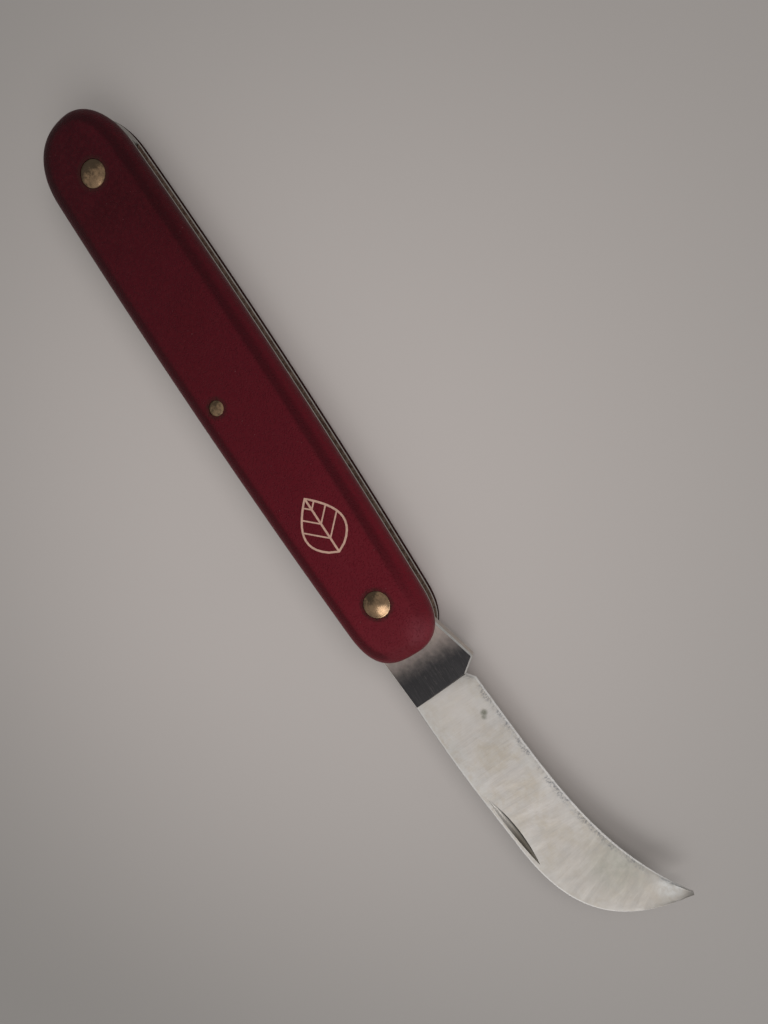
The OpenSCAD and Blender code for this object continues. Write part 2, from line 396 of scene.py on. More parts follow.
def nylon_body(n, at, along, mottle):
    """Colour of the nylon: darker towards the butt by painted shade, paler towards the pivot end by a
    painted sheen, paler still on a rubbed corner that also carries a painted sheen, and cloudy.
    """
    # Painted shade towards the butt and painted sheen towards the pivot end
    color = n.mix(along, (0.02, 0.001, 0.003), (0.155, 0.0085, 0.018))
    color = n.mix(n.span(along, 0.88, 1, 0, 0.8), color, (0.16, 0.017, 0.026))
    # Paler, rubbed corner on the slot side of the pivot end, with a painted sheen on it
    rubbed = n.math("MULTIPLY", n.near(at, (7.0, 3.4), 0.3, 3.6), 0.5)
    color = n.mix(rubbed, color, (0.25, 0.05, 0.068))
    cloud = n.noise(at, 0.09, detail=4, rough=0.6)
    color = n.mix(n.span(cloud, 0.35, 0.7, 0, 0.35), color, (0.085, 0.0045, 0.012))
    return n.mix(n.span(mottle, 0.45, 0.75, 0, 0.22), color, (0.15, 0.018, 0.022))


def nylon_dust(n, at):
    """Sparse pale specks."""
    specks = n.span(n.cells(at, 1.1), 0.05, 0.09, 0.35, 0)
    return n.math("MULTIPLY", specks, n.span(n.noise(at, 0.35), 0.56, 0.66))


def nylon_rivet_ring(n, at):
    """Uneven darker ring in the corner round each rivet."""
    rivet_ring = 0.0
    for pin in PINS:
        reach = PIN_R if pin is CENTRE_PIN else COLLAR_R
        rivet_ring = n.math("MAXIMUM", rivet_ring, n.near(at, pin, reach + 0.12, reach + 0.9))
    return n.math("MULTIPLY", rivet_ring, n.span(n.noise(at, 1.3, detail=4), 0.3, 0.7, 0.35, 0.95))


def nylon_roll_shade(n, at, along):
    """Painted shade: a dark band where the front face turns into the rolled edge, weaker round the
    pivot end on the slot side."""
    below = n.math("SUBTRACT", FRONT_HIGH.z, n.axis(at, "Z"))
    starts = n.span(below, 0.0, 0.16, smooth=True)
    band = n.math("MULTIPLY", starts, n.span(below, 0.3, 1.0, 1, 0, smooth=True))
    share = n.span(along, 0.8, 0.97, 0.5, 0.1, smooth=True)
    back_share = n.span(n.axis(at, "Y"), -4.2, -2.5, 0.5, 0, smooth=True)
    return n.math("MULTIPLY", band, n.math("MAXIMUM", share, back_share))


def nylon_side_shade(n, at):
    """Painted shade along each scale's side, next to its liner."""
    level = n.axis(at, "Z")
    on_front = n.span(level, BLADE_Z - 0.1, BLADE_Z + 0.1)
    on_rear = n.span(level, BLADE_Z - 0.1, BLADE_Z + 0.1, 1, 0)
    front = n.math("MULTIPLY", n.span(level, FRONT_LOW.z, FRONT_LOW.z + 0.4, 0.7, 0), on_front)
    rear = n.math("MULTIPLY", n.span(level, REAR_HIGH.z - 1.9, REAR_HIGH.z - 0.9), on_rear)
    return n.math("MULTIPLY", n.math("MAXIMUM", front, rear), 0.95)


def nylon_material():
    """Satin moulded nylon with a fine grain and scuffs, darker round its rivets, with painted shade
    along its sides, its rolled edges and towards its butt, and a painted sheen at its pivot end.
    """
    n = Nodes("nylon_red")
    at = n.local()
    along = n.span(n.axis(at, "X"), BUTT_X, PIVOT_END_X)
    mottle = n.noise(at, 1.6, detail=5, rough=0.7)
    side_shade = nylon_side_shade(n, at)
    color = nylon_body(n, at, along, mottle)
    color = n.mix(nylon_dust(n, at), color, (0.33, 0.2, 0.2))
    # Uneven darker ring round each rivet
    color = n.mix(nylon_rivet_ring(n, at), color, (0.04, 0.012, 0.01))
    # Painted shade where the front face turns into the rolled edge
    color = n.mix(nylon_roll_shade(n, at, along), color, (0.012, 0.001, 0.002))
    # Painted shade along the scales' sides next to the liners
    color = n.mix(side_shade, color, (0.02, 0.004, 0.003))
    scuff = n.noise(n.stretch(at, (0.25, 3.0, 1), (0, 0, 12)), 1.0, detail=6, rough=0.75)
    marks = n.math("ADD", n.math("MULTIPLY", mottle, 0.5), n.math("MULTIPLY", scuff, 0.5))
    rough = n.math("MAXIMUM", n.span(marks, 0.3, 0.7, 0.36, 0.52), side_shade)
    hair = n.bump(n.noise(at, 9.0, detail=3, rough=0.6), 0.05)
    grain = n.bump(n.span(n.cells(at, 3.2), 0.05, 0.5), 0.1, hair)
    n.shader.inputs["Specular IOR Level"].default_value = 0.15
    return n.finish(color, 0.0, rough, grain)


def ground_color(n, at, grind, mottle):
    """Blotches, flecks and grind lines of the blade's flat faces."""
    patches = n.noise(n.stretch(at, (0.16, 0.22, 1), (0, 0, 25)), 1.0, 4, 0.6, 0.6)
    color = n.mix(n.span(patches, 0.38, 0.62, smooth=True), (0.745, 0.705, 0.67), (0.68, 0.625, 0.55))
    color = n.mix(n.span(mottle, 0.42, 0.68, 0, 0.55), color, (0.78, 0.765, 0.75))
    flecks = n.noise(n.stretch(grind, (2.6, 5.0, 1), (0, 0, 14)), 1.0, 4, 0.75)
    return n.mix(n.span(flecks, 0.52, 0.74, 0, 0.4), color, (0.5, 0.465, 0.43))


def ground_places(n, at, grind, mottle, color):
    """Painted highlight along the spine and towards the edge, a paler heel and tip, and a darker hook.
    """
    along, across = n.axis(grind, "X"), n.axis(grind, "Y")
    # Painted highlight along the spine and towards the edge
    pale = n.math("ADD", n.span(across, 0.0, 0.35, 0.6, 0), n.span(across, 0.72, 0.9, 0, 0.4))
    color = n.mix(n.math("MULTIPLY", pale, n.span(mottle, 0.3, 0.6)), color, (0.8, 0.8, 0.79))
    color = n.mix(n.span(along, 20, 38, 0, 0.5, smooth=True), color, (0.5, 0.475, 0.44))
    belly = n.math("MULTIPLY", n.near(at, (54.5, 8), 0.5, 7), n.span(mottle, 0.3, 0.6, 0.2, 0.7))
    color = n.mix(belly, color, (0.44, 0.44, 0.385))
    bright = n.math("MULTIPLY", n.near(at, (60.8, 13.2), 0.4, 3), n.span(mottle, 0.35, 0.55, 0.3, 0.9))
    color = n.mix(bright, color, (0.78, 0.79, 0.79))
    heel = n.math("MULTIPLY", n.near(at, (20, 0), 1, 8), 0.5)
    return n.mix(heel, color, (0.92, 0.88, 0.85))


def blade_stain(n, at):
    """Small two-lobed stain near the heel."""
    stain = n.math("MAXIMUM", n.near(at, (23.7, 3.5), 0.15, 0.8), n.near(at, (24.3, 3.15), 0, 0.65))
    return n.math("MULTIPLY", stain, n.span(n.noise(at, 2.2, detail=4), 0.25, 0.5, 0.3, 0.75))


def ground_steel_material():
    """Satin steel of the blade's ground faces, worn along the edge, with painted highlights along the
    spine and the edge; the UV map gives the length along the blade and the share of its width, and
    grind lines run from spine to edge."""
    n = Nodes("blade_ground_steel")
    at = n.local()
    grind = n.node("UVMap", uv_map="grind").outputs[0]
    across = n.axis(grind, "Y")
    lines = n.noise(n.stretch(grind, (6.0, 0.9, 1)), 1.0, detail=5, rough=0.7)
    streaks = n.noise(n.stretch(grind, (0.9, 2.2, 1), (0, 0, 9)), 1.0, 6, 0.68, 0.4)
    mottle = n.noise(at, 0.75, detail=6, rough=0.72)
    color = ground_color(n, at, grind, mottle)
    color = n.mix(n.span(streaks, 0.5, 0.72, 0, 0.4), color, (0.8, 0.79, 0.78))
    color = n.mix(n.span(lines, 0.4, 0.7, 0, 0.26), color, (0.48, 0.455, 0.43))
    color = ground_places(n, at, grind, mottle, color)
    worn = n.span(across, 0.87, 0.95, smooth=True)
    chips = n.noise(n.stretch(grind, (2.6, 20.0, 1), (0, 0, 4)), 1.0, detail=5, rough=0.8)
    patch = n.span(n.noise(at, 0.4, detail=2), 0.4, 0.56)
    wear = n.math("MULTIPLY", n.math("MULTIPLY", worn, patch), n.span(chips, 0.47, 0.58))
    color = n.mix(n.math("MULTIPLY", wear, 0.6), color, (0.24, 0.255, 0.3))
    color = n.mix(blade_stain(n, at), color, (0.2, 0.21, 0.155))
    # Painted highlight: thin bright lines along the spine and the cutting edge
    rim = n.math("MAXIMUM", n.span(across, 0.022, 0.034, 1, 0), n.span(across, 0.972, 0.982))
    rim = n.math("MULTIPLY", rim, n.span(streaks, 0.3, 0.6, 0.4, 0.9))
    color = n.mix(rim, color, (0.93, 0.92, 0.91))
    rough = n.math("ADD", n.span(streaks, 0.3, 0.7, 0.52, 0.62), n.math("MULTIPLY", wear, 0.1))
    fine = n.bump(lines, 0.01)
    dents = n.bump(n.math("MULTIPLY", chips, worn), 0.02, fine)
    return n.finish(color, 1.0, rough, dents)


def nick_steel_material():
    """Steel inside the nail nick, with a painted highlight at its heel end and painted shade along its
    outer wall and towards its hook end.
    """
    n = Nodes("nick_steel")
    at = n.local()
    moved = n.vector_math("SUBTRACT", at, (*NICK_AT, 0))
    level = n.stretch(moved.outputs[0], (1, 1, 1), (0, 0, -NICK_TILT))
    along, side = n.axis(level, "X"), n.axis(level, "Y")
    bow = n.math("SUBTRACT", 1.05, n.math("POWER", n.math("DIVIDE", along, NICK_L / 2), 2.0))
    width = n.math("MULTIPLY", bow, NICK_W + NICK_WALL_W)
    across = n.math("DIVIDE", n.math("ADD", side, n.math("MULTIPLY", bow, NICK_WALL_W)), width)
    lines = n.noise(n.stretch(level, (0.35, 6.0, 6.0)), 1.0, detail=4, rough=0.7)
    # Painted highlight at the heel end, going darker towards the hook end
    color = n.mix(n.span(along, -5, 2.5, smooth=True), (0.9, 0.88, 0.85), (0.38, 0.35, 0.3))
    color = n.mix(n.span(lines, 0.45, 0.65, 0, 0.45), color, (0.3, 0.28, 0.25))
    # Painted shade along the foot of the nick and along its outer wall
    foot = n.math("MULTIPLY", n.span(across, 0.1, 0.25, 1, 0), n.span(along, -2, 2))
    wall = n.math("MULTIPLY", n.span(across, 0.5, 0.72), n.span(along, -6.0, -3.5))
    dark = n.math("MAXIMUM", n.math("MULTIPLY", foot, 0.6), n.math("MULTIPLY", wall, 0.93))
    color = n.mix(dark, color, (0.06, 0.055, 0.045))
    return n.finish(color, 0.75, n.span(lines, 0.3, 0.7, 0.4, 0.55), n.bump(lines, 0.01))


def rim_steel_material():
    """Polished chamfer round the tang and the ricasso, with painted brown shade on the sides below it.
    """
    n = Nodes("rim_steel")
    at = n.local()
    marks = n.noise(at, 2.5, detail=4, rough=0.7)
    color = n.mix(n.span(marks, 0.4, 0.7), (0.97, 0.96, 0.94), (0.75, 0.74, 0.72))
    # Painted shade: the sides below the chamfer darker and browner
    depth = n.math("ABSOLUTE", n.math("SUBTRACT", n.axis(at, "Z"), BLADE_Z))
    side = n.span(depth, BLADE_HALF - TANG_CHAMFER - 0.03, BLADE_HALF - TANG_CHAMFER, 1, 0)
    color = n.mix(n.math("MULTIPLY", side, 0.8), color, (0.5, 0.45, 0.4))
    return n.finish(color, 1.0, n.span(marks, 0.3, 0.7, 0.38, 0.5), n.bump(marks, 0.008))


def ricasso_steel_material():
    """Brushed steel of the tang and ricasso, with lines along the blade, and a painted reflection that
    is light by the handle and goes dark towards the grind.
    """
    n = Nodes("ricasso_steel")
    at = n.local()
    lines = n.noise(n.stretch(at, (0.25, 7.0, 7.0), (0, 0, -3)), 1.0, detail=6, rough=0.75)
    cloud = n.noise(at, 0.7, detail=5, rough=0.65)
    # Painted reflection: light near the handle, dark towards the grind
    reach = n.math("ADD", n.axis(at, "X"), n.math("MULTIPLY", n.math("SUBTRACT", cloud, 0.5), 3.0))
    shade_toward_grind = n.span(reach, 7.2, 13.8, smooth=True)
    color = n.mix(shade_toward_grind, (0.69, 0.58, 0.53), (0.062, 0.06, 0.064))
    color = n.mix(n.span(lines, 0.45, 0.75, 0, 0.12), color, (0.36, 0.35, 0.34))
    scuff = n.noise(n.stretch(at, (0.5, 3.5, 1), (0, 0, 30)), 1.0, detail=5, rough=0.8)
    color = n.mix(n.span(scuff, 0.56, 0.7, 0, 0.3), color, (0.3, 0.27, 0.25))
    rough = n.span(lines, 0.3, 0.7, 0.3, 0.46)
    return n.finish(color, 1.0, rough, n.bump(lines, 0.008))


def spring_steel_material():
    """Back spring: steel ground along its length, dulled by handling."""
    n = Nodes("spring_steel")
    at = n.local()
    lines = n.noise(n.stretch(at, (0.2, 5.0, 6.0)), 1.0, detail=6, rough=0.7)
    cloud = n.noise(at, 0.35, detail=5, rough=0.65)
    color = n.mix(n.span(lines, 0.35, 0.7), (0.5, 0.49, 0.47), (0.36, 0.35, 0.335))
    color = n.mix(n.span(cloud, 0.52, 0.75, 0, 0.7), color, (0.2, 0.17, 0.14))
    rough = n.span(cloud, 0.35, 0.7, 0.36, 0.55)
    return n.finish(color, 1.0, rough, n.bump(lines, 0.01))


def liner_edge_material():
    """Cut edge of a thin aluminium sheet, with dirt on it."""
    n = Nodes("liner_aluminium")
    at = n.local()
    cloud = n.noise(at, 0.6, detail=5, rough=0.7)
    lines = n.noise(n.stretch(at, (0.4, 4.0, 9.0)), 1.0, detail=5, rough=0.7)
    color = n.mix(n.span(lines, 0.35, 0.7), (0.68, 0.67, 0.64), (0.5, 0.49, 0.46))
    color = n.mix(n.span(cloud, 0.55, 0.72, 0, 0.6), color, (0.22, 0.17, 0.15))
    rough = n.span(cloud, 0.3, 0.7, 0.42, 0.6)
    return n.finish(color, 1.0, rough, n.bump(lines, 0.008))


def liner_face_material():
    """Face of a liner inside the slot, under dried dirt and sap."""
    n = Nodes("liner_dirty")
    at = n.local()
    cloud = n.noise(at, 0.9, detail=5, rough=0.7)
    speck = n.noise(at, 3.0, detail=4, rough=0.7)
    color = n.mix(n.span(cloud, 0.35, 0.65), (0.3, 0.22, 0.17), (0.12, 0.065, 0.05))
    color = n.mix(n.span(speck, 0.45, 0.65, 0, 0.75), color, (0.03, 0.012, 0.01))
    return n.finish(color, 0.4, n.span(cloud, 0.3, 0.7, 0.5, 0.7), n.bump(speck, 0.02))


def brass_material(name, centre, dull):
    """Tarnished brass of the rivet at centre, with painted shade making it browner on its butt side;
    dull runs from 0 to 1.
    """
    n = Nodes(name)
    at = n.local()
    cloud = n.noise(at, 0.8, detail=3, rough=0.55)
    speck = n.noise(at, 3.0, detail=3, rough=0.6)
    color = n.mix(n.span(cloud, 0.3, 0.7), (0.65, 0.425, 0.25), (0.43, 0.29, 0.185))
    patchy = n.math("ADD", n.math("MULTIPLY", cloud, 0.6), n.math("MULTIPLY", speck, 0.4))
    # Painted shade on the rivet's butt side, away from the light
    butt_side_shade = n.span(n.axis(at, "X"), centre.x - COLLAR_R, centre.x + 0.6, 0.3, 0)
    patchy = n.math("ADD", patchy, butt_side_shade)
    tarnish_and_shade = n.span(patchy, 0.6 - 0.25 * dull, 0.85 - 0.25 * dull, 0, 0.8, smooth=True)
    color = n.mix(tarnish_and_shade, color, (0.1, 0.075, 0.05))
    scratch = n.noise(n.stretch(at, (1.2, 9.0, 1), (0, 0, 35)), 1.0, detail=5, rough=0.75)
    rough = n.math("ADD", n.span(speck, 0.3, 0.7, 0.24, 0.36), n.math("MULTIPLY", tarnish_and_shade, 0.2))
    return n.finish(color, 1.0, rough, n.bump(scratch, 0.012))


def inlay_material():
    """Pale stamped metal of the leaf inlay, slightly rubbed."""
    n = Nodes("inlay_metal")
    at = n.local()
    rub = n.noise(at, 2.2, detail=5, rough=0.7)
    color = n.mix(n.span(rub, 0.4, 0.7), (0.72, 0.47, 0.37), (0.5, 0.31, 0.25))
    rough = n.span(rub, 0.3, 0.7, 0.4, 0.6)
    grain = n.noise(at, 8.0, detail=3)
    return n.finish(color, 0.2, rough, n.bump(grain, 0.008))


def table_material():
    """Pale, plain, faintly uneven table top, with a painted pool of light round the knife."""
    n = Nodes("table_top")
    at = n.local()
    cloud = n.noise(at, 0.02, detail=3)
    # Painted pool of light round the knife, going darker far out
    painted_light_pool = n.near(at, (-19, -12), 10, 120)
    color = n.mix(painted_light_pool, (0.385, 0.372, 0.36), (0.615, 0.58, 0.562))
    color = n.mix(n.span(cloud, 0.35, 0.65, 0, 0.08), color, (0.5, 0.49, 0.48))
    fine = n.noise(at, 1.2, detail=4)
    return n.finish(color, 0.0, 0.55, n.bump(fine, 0.01))


# ---------------------------------------------------------------- handle outline


def back_y(x):
    return -(BACK_W - BACK_BOW[1] * ((x - BACK_BOW[0]) / BACK_BOW[0]) ** 2)


def slot_y(x):
    return SLOT_W - SLOT_BOW[1] * ((x - SLOT_BOW[0]) / SLOT_BOW[0]) ** 2


def end_point(end, a, edge_y):
    """Point of a round end: end 0 is the butt, a runs from 0 at the very end to 90."""
    k = 2 / END_N[end][edge_y is slot_y]
    reach = END_A[end] * (1 - max(0, math.cos(math.radians(a))) ** k)
    x = PIVOT_END_X - reach if end else BUTT_X + reach
    return Vector((x, edge_y(x) * math.sin(math.radians(a)) ** k))


def handle_outline():
    """The handle seen from the front, anticlockwise from the pivot end."""
    x0, x1 = PIVOT_END_X - END_A[1], BUTT_X + END_A[0]
    ends = [90 * i / END_STEPS for i in range(END_STEPS + 1)]
    sides = [x0 + (x1 - x0) * i / SIDE_STEPS for i in range(1, SIDE_STEPS)]
    points = [end_point(1, a, slot_y) for a in ends]
    points += [Vector((x, slot_y(x))) for x in sides]
    points += [end_point(0, a, slot_y) for a in reversed(ends)]
    points += [end_point(0, a, back_y) for a in ends[1:]]
    points += [Vector((x, back_y(x))) for x in reversed(sides)]
    points += [end_point(1, a, back_y) for a in reversed(ends[1:])]
    return points


OUTLINE = handle_outline()

# ---------------------------------------------------------------- pieces of the handle


def scale_piece(name, inner_z, outer_z, material):
    """A moulded scale with rolled edges, pin holes and recesses for the rivet collars."""
    up = 1 if outer_z > inner_z else -1
    rings = [lift(inset(OUTLINE, SCALE_CORNER), inner_z), lift(OUTLINE, inner_z + up * SCALE_CORNER)]
    for i in range(ROLL_STEPS + 1):
        a = math.radians(90 * i / ROLL_STEPS)
        z = SIDE_H + (SCALE_T - SIDE_H) * math.sin(a)
        rings.append(lift(inset(OUTLINE, ROLL_W * (1 - math.cos(a))), inner_z + up * z))
    obj = mesh_object(name, loft(rings), material)
    for pin in (PIVOT_PIN, END_PIN):
        cut(obj, rod(pin, COLLAR_R + RECESS_GAP, outer_z - up * RECESS_DEPTH, outer_z + up * OVER))
    bore(obj, PINS, inner_z, outer_z)
    shade(obj, SCALE_SMOOTH)
    return obj


def liner_piece(name, z0, z1, edge, face):
    """Thin sheet between a scale and the slot, with one material for its rim and one inside."""
    obj = mesh_object(name, plate(inset(OUTLINE, LINER_INSET), z0, z1, SHEET_CHAMFER), edge)
    bore(obj, PINS, z0, z1)
    obj.data.materials.append(face)
    for polygon in obj.data.polygons:
        polygon.material_index = 1 if abs(polygon.normal.z) > FLAT_NORMAL else 0
    return obj


def dome(r, crown, side):
    """Level of a rivet's dome at radius r; side is 1 for the front and -1 for the rear."""
    return crown - side * (DOME_R - math.sqrt(DOME_R**2 - r * r))


def turned(name, centre, profile, material):
    """Solid of revolution about a rivet's axis, from (radius, level, dent) rows that start and
    end on the axis or close on themselves; dent is the share of DENTS by which a row is lowered
    unevenly."""
    bm = bmesh.new()
    rows = []
    for r, z, dent in profile:
        row = []
        for i in range(ROUND_SIDES):
            p = Vector((*centre, 0)) + Vector((*polar(r, 360 * i / ROUND_SIDES), 0))
            wave = noise.noise(Vector((p.x * 1.1, p.y * 1.1, z * 0.2 + centre[0])))
            row.append(bm.verts.new((p.x, p.y, z - DENTS * dent * (0.5 + 0.5 * wave))))
        rows.append(row)
    closed = len(rows) if profile[0][0] > 0 else len(rows) - 1
    for k in range(closed):
        a, b = rows[k], rows[(k + 1) % len(rows)]
        for i in range(ROUND_SIDES):
            j = (i + 1) % ROUND_SIDES
            bm.faces.new((a[i], a[j], b[j], b[i]))
    bmesh.ops.remove_doubles(bm, verts=bm.verts, dist=1e-5)
    return mesh_object(name, bm, material)


def collar_piece(name, rivet, side_name, material):
    """Domed ring round an end of a rivet's pin, whose dome it carries on outwards to a rim
    rounded by two more rows."""
    node = f"{rivet}_collar_{side_name}"
    low, high = node_box(node)
    pin_low, pin_high = node_box(rivet + "_pin")
    side, foot, crown = (1, low.z, pin_high.z) if side_name == "front" else (-1, high.z, pin_low.z)
    inner = PIN_R + PRESS
    radii = [inner + (COLLAR_R - 0.12 - inner) * i / 10 for i in range(11)]
    profile = [(inner, foot, 0)]
    profile += [(r, dome(r, crown, side), side) for r in radii]
    profile += [(COLLAR_R - 0.04, dome(COLLAR_R - 0.07, crown, side), 0),
                (COLLAR_R, dome(COLLAR_R, crown, side) - side * 0.03, 0), (COLLAR_R, foot, 0)]
    return turned(name, centre_of(node).xy, profile, material)


def pin_piece(name, node, material):
    """Plain pin with both ends peened to the rivets' dome."""
    low, high = node_box(node)
    radii = [PIN_R * i / 8 for i in range(9)]
    profile = [(r, dome(r, low.z, -1), -1) for r in radii]
    profile += [(r, dome(r, high.z, 1), 1) for r in reversed(radii)]
    return turned(name, centre_of(node).xy, profile, material)


# ---------------------------------------------------------------- back spring

# Its nose under the tang, its taper, the swell's height and half width, and its solid block
NOSE_X = STOP_X - 0.05
NOSE_Y = -FLAT_R - TANG_GAP
NOSE_FLAT_X = -4
STRIP_END = Vector((END_PIN.x + 13, -5.3))
SWELL, SWELL_W = 2.8, 8
BLOCK_CURVE = (STRIP_END, END_PIN + Vector((2.5, -5)), END_PIN + Vector((1, 4.5)),
               END_PIN + Vector((-3, SLOT_W + 0.5)))


def kick_rest():
    """Place on the spring just under the kick of the shut blade."""
    a = math.radians(CLOSE_ANGLE)
    p = KICK - Vector((0, KICK_R))
    shut_x = p.x * math.cos(a) - p.y * math.sin(a)
    shut_y = p.x * math.sin(a) + p.y * math.cos(a)
    return Vector((shut_x, shut_y - KICK_R - TANG_GAP))


def spring_inner_edge():
    """Inner edge of the spring from its nose to the slot edge at the butt."""
    rest = kick_rest()
    slope = (STRIP_END.y - rest.y) / (STRIP_END.x - rest.x)
    points = [Vector((NOSE_X, NOSE_Y)), Vector((NOSE_FLAT_X, NOSE_Y)), rest]
    steps = 40
    for i in range(steps + 1):
        u = 1 - 2 * i / steps
        x = CENTRE_PIN.x + SWELL_W * u
        strip_y = rest.y + slope * (x - rest.x)
        points.append(Vector((x, strip_y + SWELL * math.cos(math.pi / 2 * u) ** 2)))
    return points + [cubic(BLOCK_CURVE, i / steps) for i in range(steps + 1)]


def spring_piece(name, material):
    """Solid between the liners along the back and round the butt."""
    low, high = node_box("back_spring")
    margin = 3
    right, back, slot = PIVOT_END_X + margin, -BACK_W - margin, SLOT_W + margin
    free = [Vector((NOSE_X, back)), Vector((right, back)), Vector((right, slot)),
            Vector((BLOCK_CURVE[3].x, slot))]
    free += reversed(spring_inner_edge())
    outline = inset(OUTLINE, LINER_INSET)
    obj = mesh_object(name, plate(outline, low.z, high.z, SHEET_CHAMFER), material)
    cut(obj, loft([lift(free, low.z - OVER), lift(free, high.z + OVER)]))
    bore(obj, (END_PIN, CENTRE_PIN), low.z, high.z)
    return obj


# ---------------------------------------------------------------- blade

# The ground part: rings of points from the root, which is buried in the tang, to the tip; the
# first ring outside the tang keeps clear of its corner at the spine
ROOT_SPINE = GRIND_SPINE + Vector((-0.8, 0.05))
ROOT_EDGE = CHOIL + Vector((-0.6, -0.6))
CORNER_CLEAR = Vector((0, 0.03))
STATIONS = 110
EDGE_POINT = 14
HOOK_SHARE = 0.5
EDGE_SHARE = 0.93
EDGE_HALF = 0.05
BEVEL_HALF = 0.2
TIP_THIN = 0.55
GROUND_HALF = BLADE_HALF - 0.02
SPINE_ROUND = 0.22
TANG_CHAMFER = 0.24
NICK_AT = Vector((42.85, -3.1))
NICK_TILT = 5.5
NICK_W, NICK_WALL_W = 1.1, 0.35
NICK_FACE_H = 0.87
NICK_L, NICK_DEPTH = 14.2, 0.5


def tang_outline():
    flat_a = math.degrees(math.acos(FLAT_R / TANG_R))
    closed_a = 270 - CLOSE_ANGLE
    steps = 48
    points = [GRIND_SPINE, CHOIL]
    points += [KICK - Vector((0, KICK_R)) + polar(KICK_R, 40 + 7.5 * i) for i in range(11)]
    points += [RICASSO_SIDE, polar(TANG_R, closed_a - flat_a)]
    sweep = 270 - closed_a - 2 * flat_a
    points += [polar(TANG_R, closed_a + flat_a + sweep * i / steps) for i in range(steps + 1)]
    points += [Vector((STOP_X, -FLAT_R)), Vector((STOP_X, STOP_Y))]
    return points


def spine_at(s):
    if s < 1 - HOOK_SHARE:
        return cubic(SPINE_CURVE, s / (1 - HOOK_SHARE))
    return cubic(HOOK_CURVE, TIP_T * (s - 1 + HOOK_SHARE) / HOOK_SHARE)


def edge_at(s):
    return cubic(EDGE_CURVE, TIP_T * s)


def station(i):
    """Ring of the ground blade: spine, rear face, edge, front face, with a rounded spine."""
    s = max(0, (i - 1) / (STATIONS - 1))
    a = ROOT_SPINE if i == 0 else spine_at(s)
    if i == 1:
        a = a + CORNER_CLEAR
    b = ROOT_EDGE if i == 0 else edge_at(s)
    across = b - a
    width = across.length
    h = GROUND_HALF * (1 - (1 - TIP_THIN) * s * s)
    corner = min(SPINE_ROUND, 0.2 * width)
    profile = []
    for k in range(6):
        turn = math.radians(18 * k)
        profile.append((corner * (1 - math.cos(turn)), h - corner * (1 - math.sin(turn))))
    profile += [(width * EDGE_SHARE * k / 8, h + (BEVEL_HALF - h) * k / 8) for k in range(1, 9)]
    profile += [(width, EDGE_HALF)]
    unit = across / width
    ring = [(a + unit * d, -z, d / width) for d, z in profile]
    ring += [(a + unit * d, z, d / width) for d, z in reversed(profile)]
    return [(Vector((min(p.x, BLADE_HIGH.x), min(p.y, BLADE_HIGH.y), BLADE_Z + z)), f)
            for p, z, f in ring]


def nick_tool():
    """Double-bevelled wheel that cuts the nail nick, steep towards the spine."""
    r = (NICK_L**2 / 4 + NICK_DEPTH**2) / (2 * NICK_DEPTH)
    segments = 720
    across = polar(1, 90 + NICK_TILT)
    along = polar(1, NICK_TILT)
    z = BLADE_Z + NICK_FACE_H + r - NICK_DEPTH
    rings = []
    for d, radius in ((-NICK_WALL_W, r - NICK_DEPTH), (0, r), (NICK_W, r - NICK_DEPTH)):
        ring = []
        for i in range(segments):
            p = polar(radius, 360 * i / segments)
            flat = NICK_AT + across * d + along * p.x
            ring.append(Vector((flat.x, flat.y, z + p.y)))
        rings.append(ring)
    return loft(rings)


def ground_body():
    """The ground part, with the UV map that its steel's grind lines follow."""
    stations = [station(i) for i in range(STATIONS + 1)]
    lengths = [0.0]
    for a, b in zip(stations, stations[1:]):
        spine_step = (b[0][0] - a[0][0]).length
        edge_step = (b[EDGE_POINT][0] - a[EDGE_POINT][0]).length
        lengths.append(lengths[-1] + (spine_step + edge_step) / 2)
    rings = [[p for p, _ in ring] for ring in stations]
    return loft(rings, uv=lambda k, i: (lengths[k], stations[k][i][1]))


def on_ricasso_rim(face):
    """True on the sides and chamfers round the tang and the ricasso, up to the grind line."""
    x = (face.center.x - PIVOT.x) / MM
    return x < ROOT_SPINE.x and abs(face.normal.z) < FLAT_NORMAL


def blade_piece(ground, ricasso, nick, rim):
    blade = mesh_object("blade_body", ground_body(), ground)
    low, high = BLADE_LOW.z, BLADE_HIGH.z
    boolean(blade, plate(tang_outline(), low, high, TANG_CHAMFER), "UNION", ricasso)
    cut(blade, rod((0, 0), PIN_R + PIN_PLAY, low - OVER, high + OVER), ricasso)
    cut(blade, nick_tool(), nick)
    blade.data.materials.append(rim)
    for face in blade.data.polygons:
        if on_ricasso_rim(face):
            face.material_index = len(blade.data.materials) - 1
    shade(blade, BLADE_SMOOTH)
    return blade


# ---------------------------------------------------------------- leaf inlay


def leaf_groove(scale):
    """Cuts the inlay's shape, drawn up past the face, out of the front scale."""
    bm = bmesh.new()
    bm.from_mesh(frame["nodes"]["leaf_inlay"].data)
    bmesh.ops.remove_doubles(bm, verts=bm.verts, dist=1e-6)
    for v in bm.verts:
        v.co = (v.co - PIVOT) / MM
        if v.co.z > FRONT_HIGH.z - 0.1:
            v.co.z += 0.5
    cut(scale, bm)


def leaf_piece(material):
    """The CAD inlay, with its flat faces merged and shaded smooth."""
    data = frame["nodes"]["leaf_inlay"].data.copy()
    data.materials.clear()
    data.materials.append(material)
    obj = bpy.data.objects.new("leaf_inlay_piece", data)
    bpy.context.scene.collection.objects.link(obj)
    bm = bmesh.new()
    bm.from_mesh(data)
    bmesh.ops.remove_doubles(bm, verts=bm.verts, dist=1e-6)
    bmesh.ops.dissolve_limit(bm, angle_limit=math.radians(1), verts=bm.verts, edges=bm.edges)
    bm.to_mesh(data)
    bm.free()
    shade(obj, LEAF_SMOOTH)
    return obj


# ---------------------------------------------------------------- stage, light, camera

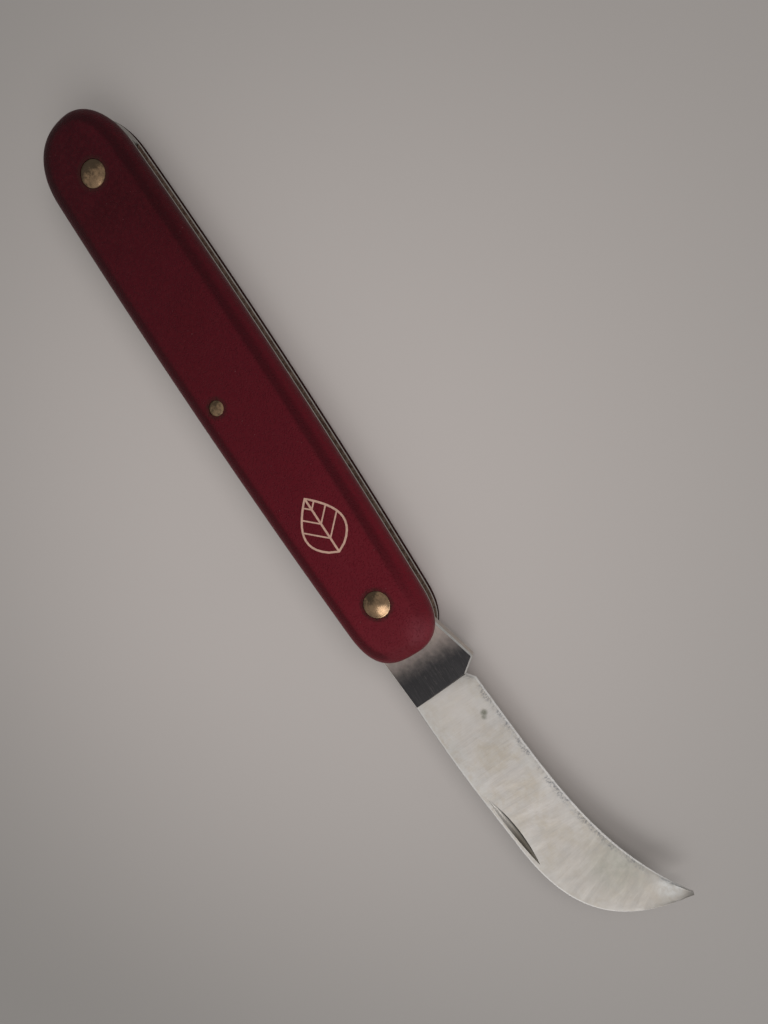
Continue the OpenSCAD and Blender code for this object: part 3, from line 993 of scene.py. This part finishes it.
CAMERA_AT = Vector((-11.25, 40.76, 116.81))
CAMERA_TILT = -16.37
CAMERA_ROLL = 56.66
LENS = 26.37
TABLE_HALF = 1500


def add_camera():
    data = bpy.data.cameras.new("camera")
    data.lens = LENS
    data.sensor_width = 36
    data.clip_start = 0.001
    data.clip_end = 20
    cam = bpy.data.objects.new("camera", data)
    bpy.context.scene.collection.objects.link(cam)
    turn = Matrix.Rotation(math.radians(CAMERA_TILT), 4, "X")
    roll = Matrix.Rotation(math.radians(CAMERA_ROLL), 4, "Z")
    cam.matrix_world = Matrix.Translation(to_frame(CAMERA_AT)) @ turn @ roll
    bpy.context.scene.camera = cam


def add_table(material):
    bm = bmesh.new()
    bmesh.ops.create_grid(bm, x_segments=8, y_segments=8, size=TABLE_HALF)
    table = mesh_object("table", bm, material)


def add_light(name, at, target, size, power, color, in_gloss=True):
    data = bpy.data.lights.new(name, "AREA")
    data.shape = "RECTANGLE"
    data.size = size[0] * MM
    data.size_y = size[1] * MM
    data.energy = power
    data.color = color
    light = bpy.data.objects.new(name, data)
    light.visible_glossy = in_gloss
    bpy.context.scene.collection.objects.link(light)
    place = to_frame(at)
    aim = (to_frame(target) - place).to_track_quat("-Z", "Y")
    light.matrix_world = Matrix.Translation(place) @ aim.to_matrix().to_4x4()


def add_lights():
    """A soft window beyond the blade, a weak lamp over the slot side and an even room."""
    middle = (-10, 0, 0)
    add_light("window", (590, -126, 672), middle, (590, 530), 2.0, (1.0, 0.97, 0.945))
    add_light("lamp", (-20, 150, 300), (0, 20, 0), (240, 240), 0.4, (1.0, 0.94, 0.92), False)
    world = bpy.data.worlds.new("room_light")
    world.use_nodes = True
    background = world.node_tree.nodes["Background"]
    background.inputs["Color"].default_value = (1.0, 0.985, 0.96, 1)
    background.inputs["Strength"].default_value = 0.26
    bpy.context.scene.world = world


# ---------------------------------------------------------------- assembly


def hand_over(piece, node, body):
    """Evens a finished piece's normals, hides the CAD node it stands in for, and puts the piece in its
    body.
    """
    weigh_normals(piece)
    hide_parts(node)
    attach(piece, body)


def build_handle():
    """The 13 pieces that stay still."""
    nylon = nylon_material()
    for side, inner, outer in (("front", FRONT_LOW.z, FRONT_HIGH.z), ("rear", REAR_HIGH.z, REAR_LOW.z)):
        piece = scale_piece(side + "_scale_piece", inner, outer, nylon)
        if side == "front":
            leaf_groove(piece)
        hand_over(piece, side + "_scale", "handle")
    edge, face = liner_edge_material(), liner_face_material()
    for side in ("front", "rear"):
        low, high = node_box(side + "_liner")
        piece = liner_piece(side + "_liner_piece", low.z, high.z, edge, face)
        hand_over(piece, side + "_liner", "handle")
    spring = spring_piece("back_spring_piece", spring_steel_material())
    hand_over(spring, "back_spring", "handle")
    brass = {"pivot": brass_material("pivot_brass", PIVOT_PIN, 0.25),
             "end": brass_material("end_brass", END_PIN, 0.75),
             "centre": brass_material("centre_brass", CENTRE_PIN, 0.65)}
    for rivet in ("pivot", "end"):
        for side in ("front", "rear"):
            node = f"{rivet}_collar_{side}"
            piece = collar_piece(node + "_piece", rivet, side, brass[rivet])
            hand_over(piece, node, "handle")
    for rivet, metal in brass.items():
        node = rivet + "_pin"
        hand_over(pin_piece(node + "_piece", node, metal), node, "handle")
    hand_over(leaf_piece(inlay_material()), "leaf_inlay", "handle")


def build_blade():
    """The one piece of the moving body."""
    blade = blade_piece(ground_steel_material(), ricasso_steel_material(),
                        nick_steel_material(), rim_steel_material())
    hand_over(blade, "blade", "blade")


add_camera()
add_table(table_material())
add_lights()
build_handle()
build_blade()
bpy.context.scene.view_settings.view_transform = "Standard"
